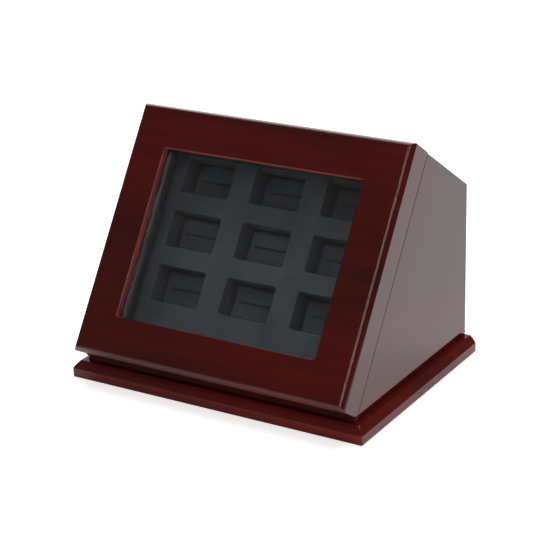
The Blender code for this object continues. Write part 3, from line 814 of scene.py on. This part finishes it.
def make_lid():
    """The slab with its moulded edge and window, built as one closed band of rings."""
    step = LID_FACE - LID_STEP_UP
    arc = shallow_arc(LID_ARC_WIDTH, step - LID_SIDE, 64, 50, ARC_STEPS)
    arc = [(inset, LID_SIDE + rise) for inset, rise in arc]
    back_arris = [(2 * MM, LID_BACK, 0), (0, LID_BACK, 0.3 * MM)]
    lower = fillet([*back_arris, (0, LID_SIDE, 0.25 * MM), (*arc[1], 0)], 3)
    step_inset = LID_ARC_WIDTH + LID_STEP_IN
    upper = fillet(
        [
            (*arc[-2], 0),
            (*arc[-1], 0.35 * MM),
            (step_inset, step, 0.10 * MM),
            (step_inset, LID_FACE, 0.35 * MM),
            (step_inset + 2 * MM, LID_FACE, 0),
        ]
    )
    shape = bmesh.new()
    rings = []
    for inset, height in lower[:-1] + arc[1:-2] + upper:
        low, high = (-HALF_WIDTH + inset, LID_FOOT + inset), (HALF_WIDTH - inset, LID_TOP - inset)
        rings.append(add_loop(shape, rounded_rectangle(low, high, 0.7 * MM), height))
    shelf = LID_FACE - WINDOW_LIP
    reveal = fillet(
        [
            (3 * MM, LID_FACE, 0),
            (0, LID_FACE, 0.3 * MM),
            (0, shelf, 0.25 * MM),
            (REBATE, shelf, 0.1 * MM),
            (REBATE, LID_BACK, 0.3 * MM),
            (REBATE + 2 * MM, LID_BACK, 0),
        ]
    )
    centre, margin = Vector((0, WINDOW_U)), 1 * MM
    for grow, height in reveal:
        in_sight = height > shelf - 0.05 * MM and grow < 3.5 * MM
        radius = 1.9 * MM + min(grow, 0.3 * MM) if in_sight else 0.6 * MM
        size = WINDOW_HALF + Vector((grow, grow))
        rings.append(add_loop(shape, rounded_rectangle(centre - size, centre + size, radius), height))
    skin(shape, rings + rings[:1], capped=False)
    lid = finish_piece("glazed_lid", shape, LACQUER_X, "lid", ["lid_panel"], TO_SLOPE, 30)
    combine(lid, hinge_pockets(1), "DIFFERENCE", TO_SLOPE)
    glint_receivers.objects.link(lid)
    # The reveal's upright faces get a lighter copy of the lacquer: painted light on the lit reveal
    lid.data.materials.append(REVEAL_LACQUER_PAINTED_LIGHT)
    to_slope = TO_SLOPE.inverted()
    for polygon in lid.data.polygons:
        here = to_slope @ polygon.center
        facing = to_slope.to_3x3() @ polygon.normal
        in_width = abs(here.x) < WINDOW_HALF.x + margin
        in_height = abs(here.y - WINDOW_U) < WINDOW_HALF.y + margin
        if in_width and in_height and here.z > shelf and abs(facing.z) < 0.5:
            polygon.material_index = 1
    flatten_normals(lid)


def make_pane():
    """The pane, with its edges arrissed."""
    shape = bmesh.new()
    arris = 0.3 * MM
    bottom, top = PANE_LOW.z, PANE_HIGH.z
    rings = []
    for inset, height in ((arris, bottom), (0, bottom + arris), (0, top - arris), (arris, top)):
        low, high = (PANE_LOW.x + inset, PANE_LOW.y + inset), (PANE_HIGH.x - inset, PANE_HIGH.y - inset)
        rings.append(add_loop(shape, rounded_rectangle(low, high, 1 * MM), height))
    skin(shape, rings)
    finish_piece("window_glass", shape, GLASS, "lid", ["glass_pane"], TO_SLOPE, 20)


# ---------------------------------------------------------------- velvet


WELL_HALF = Vector((19.65 * MM, 13.1 * MM))
BOARD_HALF_WIDTH = 97.7 * MM
BOARD_FOOT, BOARD_TOP = 22.3 * MM, 170.7 * MM
WELL_X = (-57.2 * MM, 0, 57.2 * MM)
WELL_U = (141.3 * MM, 100.9 * MM, 60.5 * MM)
PAD_FRONT = -7.4 * MM
PAD_BACK = -29.4 * MM
CORNER_STEPS = 6
ROLL_STEPS = 6
CUSHION_THICKNESS = 8 * MM
SLIT_HALF_LENGTH = 13.6 * MM
SLIT_HALF_WIDTH = 0.2 * MM
SLIT_DEPTH = 2.4 * MM
LIP_WIDTH = 1.7 * MM
LIP_LINES = (0.12, 0.2, 0.25, 0.4, 0.65, 1.0, 1.45, 1.9)
SLIT_LINES = [side * line * MM for side in (-1, 1) for line in LIP_LINES]


def cell_outline(low, high, reach):
    """Points on a plain rectangle that pair with rounded_rectangle's. They spread along the sides."""
    points = []
    half = CORNER_STEPS // 2
    for x, y, before, after in (
        (high.x, high.y, (0, -1), (-1, 0)),
        (low.x, high.y, (1, 0), (0, -1)),
        (low.x, low.y, (0, 1), (1, 0)),
        (high.x, low.y, (-1, 0), (0, 1)),
    ):
        for k in range(CORNER_STEPS + 1):
            away = Vector(before if k < half else after) * reach * abs(k - half) / half
            points.append((x + away.x, y + away.y))
    return points


def make_ring_board():
    """The board under its velvet: nine wells with soft rims, cell by cell."""
    roll, corner, reach = 0.8 * MM, 1.6 * MM, 6 * MM
    edges_x = (-BOARD_HALF_WIDTH, WELL_X[0] / 2, WELL_X[2] / 2, BOARD_HALF_WIDTH)
    edges_u = (BOARD_TOP, (WELL_U[0] + WELL_U[1]) / 2, (WELL_U[1] + WELL_U[2]) / 2, BOARD_FOOT)
    turns = [math.pi / 2 * k / ROLL_STEPS for k in range(ROLL_STEPS + 1)]
    rim = [(roll * (1 - math.sin(a)), -roll * (1 - math.cos(a))) for a in turns]
    profile = [(4 * MM, 0)] + rim + [(0, PAD_BACK - PAD_FRONT)]
    shape = bmesh.new()
    for row in range(3):
        for column in range(3):
            low = Vector((edges_x[column], edges_u[row + 1]))
            high = Vector((edges_x[column + 1], edges_u[row]))
            centre = Vector((WELL_X[column], WELL_U[row]))
            outline = cell_outline(low, high, reach)
            rings = [add_loop(shape, outline, PAD_FRONT)]
            for grow, drop in profile:
                size = WELL_HALF + Vector((grow, grow))
                ring = rounded_rectangle(centre - size, centre + size, corner + grow, CORNER_STEPS)
                rings.append(add_loop(shape, ring, PAD_FRONT + drop))
            rings.append(add_loop(shape, outline, PAD_BACK))
            skin(shape, rings, capped=False)
    bmesh.ops.remove_doubles(shape, verts=shape.verts, dist=1e-6)
    outer_edges = [edge for edge in shape.edges if edge.is_boundary]
    bmesh.ops.bridge_loops(shape, edges=outer_edges)
    nodes = ["ring_board"]
    board = finish_piece("velvet_ring_board", shape, VELVET, "case", nodes, TO_SLOPE, 50)
    flatten_normals(board)


def cushion_height(x, u, half):
    """Height of a slit foam pad at a point: eased edges, a low crown and the slit's rolled lips."""
    ease, crown, slit_end = 3.2 * MM, 0.5 * MM, 1.2 * MM
    edge = min(half.x - abs(x), half.y - abs(u))
    short = max(0.0, ease - edge)
    height = CUSHION_THICKNESS - (ease - math.sqrt(max(0.0, ease * ease - short * short)))
    height -= crown * ((x / half.x) ** 2 + (u / half.y) ** 2) / 2
    along = min(1.0, max(0.0, (SLIT_HALF_LENGTH - abs(x)) / slit_end))
    near = max(0.0, LIP_WIDTH - max(0.0, abs(u) - SLIT_HALF_WIDTH))
    roll = LIP_WIDTH - math.sqrt(max(0.0, LIP_WIDTH * LIP_WIDTH - near * near))
    if abs(u) <= SLIT_HALF_WIDTH:
        roll = SLIT_DEPTH
    return max(0.6 * MM, height - along * roll)


def make_cushion(row, column):
    """A slit foam pad in its velvet, with a faint unevenness away from the slit."""
    clearance = 0.3 * MM
    half = WELL_HALF - Vector((clearance, clearance))
    across = [half.x * s for s in spaced(26)]
    upward = sorted({round(u, 7) for u in [half.y * s for s in spaced(24)] + SLIT_LINES})
    shape = bmesh.new()
    centre = Vector((WELL_X[column], WELL_U[row]))
    swell = 0.12 * MM
    grid = []
    for u in upward:
        line = []
        for x in across:
            height = cushion_height(x, u, half) - swell
            if abs(u) > 3 * MM:
                height += swell * math.sin(310 * x + 2.1 * row) * math.sin(420 * u + 1.7 * column)
            line.append(shape.verts.new((centre.x + x, centre.y + u, PAD_BACK + height)))
        grid.append(line)
    for lower, upper in zip(grid, grid[1:]):
        for k in range(len(lower) - 1):
            shape.faces.new((lower[k], lower[k + 1], upper[k + 1], upper[k]))
    rim = [edge for edge in shape.edges if edge.is_boundary]
    grown = bmesh.ops.extrude_edge_only(shape, edges=rim)
    for vertex in (v for v in grown["geom"] if isinstance(v, bmesh.types.BMVert)):
        vertex.co.z = PAD_BACK + 0.2 * MM
    bmesh.ops.edgeloop_fill(shape, edges=[e for e in shape.edges if e.is_boundary])
    label = f"r{row + 1}_c{column + 1}"
    name, nodes = f"ring_pad_{label}", [f"ring_cushion_{label}"]
    pad = finish_piece(name, shape, CUSHION_VELVET, "case", nodes, TO_SLOPE, 60)


def spaced(count):
    """Numbers from -1 to 1, closer together towards the ends."""
    steps = [2 * k / count - 1 for k in range(count + 1)]
    return [math.copysign(abs(s) ** 0.72, s) for s in steps]


# ---------------------------------------------------------------- hinges


def plate_mesh(low, high, radius):
    """A leaf's plate, with the two corners away from the knuckles rounded."""
    shape = bmesh.new()
    outline = rounded_rectangle(low[:2], high[:2], radius)
    outline = [(x, y if y < (low[1] + high[1]) / 2 else high[1]) for x, y in outline]
    ease = 0.12 * MM
    centre = Vector(((low[0] + high[0]) / 2, (low[1] + high[1]) / 2))
    rings = []
    for inset, n in ((ease, low[2]), (0, low[2] + ease), (0, high[2] - ease), (ease, high[2])):
        shrunk = []
        for x, y in outline:
            shrunk.append((x - math.copysign(inset, x - centre.x), y - math.copysign(inset, y - centre.y)))
        rings.append(add_loop(shape, shrunk, n))
    skin(shape, rings)
    bmesh.ops.remove_doubles(shape, verts=shape.verts, dist=TINY)
    bmesh.ops.recalc_face_normals(shape, faces=shape.faces)
    return shape


def make_leaf(name, side, x, outward, knuckles):
    """One leaf of a hinge: its plate and knuckles, with the pin's bore and two countersinks."""
    low_n, high_n = sorted((outward * LEAF_NEAR, outward * LEAF_FAR))
    top = AXIS_U - 2.05 * MM
    shape = plate_mesh((x - HINGE_HALF, LEAF_FOOT_U, low_n), (x + HINGE_HALF, top, high_n), 1.2 * MM)
    node = f"hinge_{side}_{name}_leaf"
    leaf = finish_piece(f"{node}_brass", shape, BRASS, name, [node], TO_SLOPE)
    tubes = []
    for start, end in knuckles:
        middle = (x + (start + end) / 2, AXIS_U, 0)
        tubes.append(box_mesh((x + start, top - 1 * MM, low_n), (x + end, AXIS_U - 0.6 * MM, high_n)))
        tubes.append(cylinder_mesh(KNUCKLE_RADIUS, end - start, middle, (1, 0, 0), 64))
    combine(leaf, tubes, "UNION", TO_SLOPE)
    cuts = [cylinder_mesh(0.7 * MM, 3 * HINGE_HALF, (x, AXIS_U, 0), (1, 0, 0), 40)]
    sink = 1 * MM
    depth = outward * (LEAF_NEAR + sink / 2 - 0.05 * MM)
    for offset in HINGE_SCREW_OFFSETS:
        place = (x + offset, HINGE_SCREW_U, depth)
        cuts.append(cylinder_mesh(1.85 * MM, sink, place, (0, 0, outward), 40, 0.95 * MM))
    combine(leaf, cuts, "DIFFERENCE", TO_SLOPE)
    round_edges(leaf, 0.08 * MM, 2, 50)
    flatten_normals(leaf)


def turned(outline, segments=40):
    """A closed solid of revolution about Z from (radius, height) points, the first and last on the axis."""
    shape = bmesh.new()
    first = shape.verts.new((0, 0, outline[0][1]))
    last = shape.verts.new((0, 0, outline[-1][1]))
    angles = [2 * math.pi * k / segments for k in range(segments)]
    rings = [
        add_loop(shape, [(radius * math.cos(a), radius * math.sin(a)) for a in angles], height)
        for radius, height in outline[1:-1]
    ]
    skin(shape, rings, capped=False)
    for k in range(segments):
        after = (k + 1) % segments
        shape.faces.new((first, rings[0][after], rings[0][k]))
        shape.faces.new((last, rings[-1][k], rings[-1][after]))
    bmesh.ops.recalc_face_normals(shape, faces=shape.faces)
    return shape


def screw_outline(head, shank, length, head_height):
    """Crowned countersunk head, threaded shank and point. Heights run from the head, at 0, to the tip."""
    points = [(0, -0.02 * head), (0.45 * head, -0.012 * head), (0.88 * head, 0), (head, 0.06 * head)]
    points += [(head * 0.985, 0.14 * head), (shank, head_height)]
    start, end = head_height + 0.25 * (length - head_height), length - 1.8 * shank
    pitch, root = 0.75 * shank, 0.72 * shank
    points.append((shank, start))
    for k in range(int((end - start) / pitch)):
        here = start + k * pitch
        points += [(root, here + 0.3 * pitch), (shank, here + 0.8 * pitch), (shank, here + 0.95 * pitch)]
    points += [(shank * 0.7, end + 0.2 * shank), (shank * 0.2, length - 0.1 * shank), (0, length)]
    return points


def make_screw(node, material, place, outward, measures, slot_angle, to_world=None):
    """A slotted countersunk screw. Its head is at place, and its point along Z, or against it."""
    head, shank, length, head_height = measures
    screw_shape = turned(screw_outline(head, shank, length, head_height))
    groove = box_mesh((-2 * head, -0.13 * head, -head), (2 * head, 0.13 * head, 0.32 * head_height))
    groove.transform(Matrix.Rotation(slot_angle, 4, "Z"))
    for shape in (screw_shape, groove):
        if outward < 0:
            shape.transform(Matrix.Rotation(math.pi, 4, "X"))
        shape.transform(Matrix.Translation(place))
    body = "lid" if "_lid_" in node else "case"
    screw = finish_piece(f"{node}_slotted", screw_shape, material, body, [node], to_world)
    combine(screw, [groove], "DIFFERENCE", to_world)


def make_hinge(side, x):
    """Two leaves, their pin and their four screws."""
    inner, gap = 3.3 * MM, 0.3 * MM
    make_leaf("case", side, x, -1, ((-HINGE_HALF, -inner - gap), (inner + gap, HINGE_HALF)))
    make_leaf("lid", side, x, 1, ((-inner, inner),))
    half_pin = [(0.6 * MM, 9.4 * MM), (0.35 * MM, 9.68 * MM), (0, 9.75 * MM)]
    pin = turned([(radius, -reach) for radius, reach in half_pin[::-1]] + half_pin, 32)
    pin.transform(Matrix.Rotation(math.pi / 2, 4, "Y"))
    pin.transform(Matrix.Translation((x, AXIS_U, 0)))
    node = f"hinge_{side}_pin"
    finish_piece(f"{node}_rod", pin, BRASS, "case", [node], TO_SLOPE)
    for k, offset in enumerate(HINGE_SCREW_OFFSETS):
        for name, outward in (("case", -1), ("lid", 1)):
            node = f"hinge_{side}_{name}_screw_{k + 1}"
            place = Vector((x + offset, HINGE_SCREW_U, outward * 0.3 * MM))
            slot_angle = 0.6 + 1.1 * k + (0.5 if name == "lid" else 0) + (0.8 if side == "left" else 0)
            make_screw(node, BRASS, place, outward, HINGE_SCREW, slot_angle, TO_SLOPE)


def make_base_screws():
    for side, x in (("left", -BASE_SCREW_X), ("right", BASE_SCREW_X)):
        for k, y in enumerate(BASE_SCREW_Y):
            node = f"base_screw_{side}_{k + 1}"
            place = Vector((x, y, BASE_SCREW_HEAD_Z))
            make_screw(node, STEEL, place, 1, BASE_SCREW, 0.4 + 0.9 * k)


make_base()
make_felt()
make_cabinet()
make_lid()
make_pane()
make_ring_board()
for row in range(3):
    for column in range(3):
        make_cushion(row, column)
make_hinge("left", -HINGE_X)
make_hinge("right", HINGE_X)
make_base_screws()
refine("front_rail", LACQUER_X, 0.4 * MM)
for edge in ("left", "right", "top", "bottom"):
    refine(f"wall_liner_{edge}", LINER_VELVET, 0.35 * MM)
for edge in ("left", "right", "top", "bottom"):
    refine(f"glazing_strip_{edge}", LINER_VELVET, 0.6 * MM)
for node in ("backing_board", "left_cleat", "right_cleat"):
    refine(node, RAW_WOOD, 0.4 * MM)
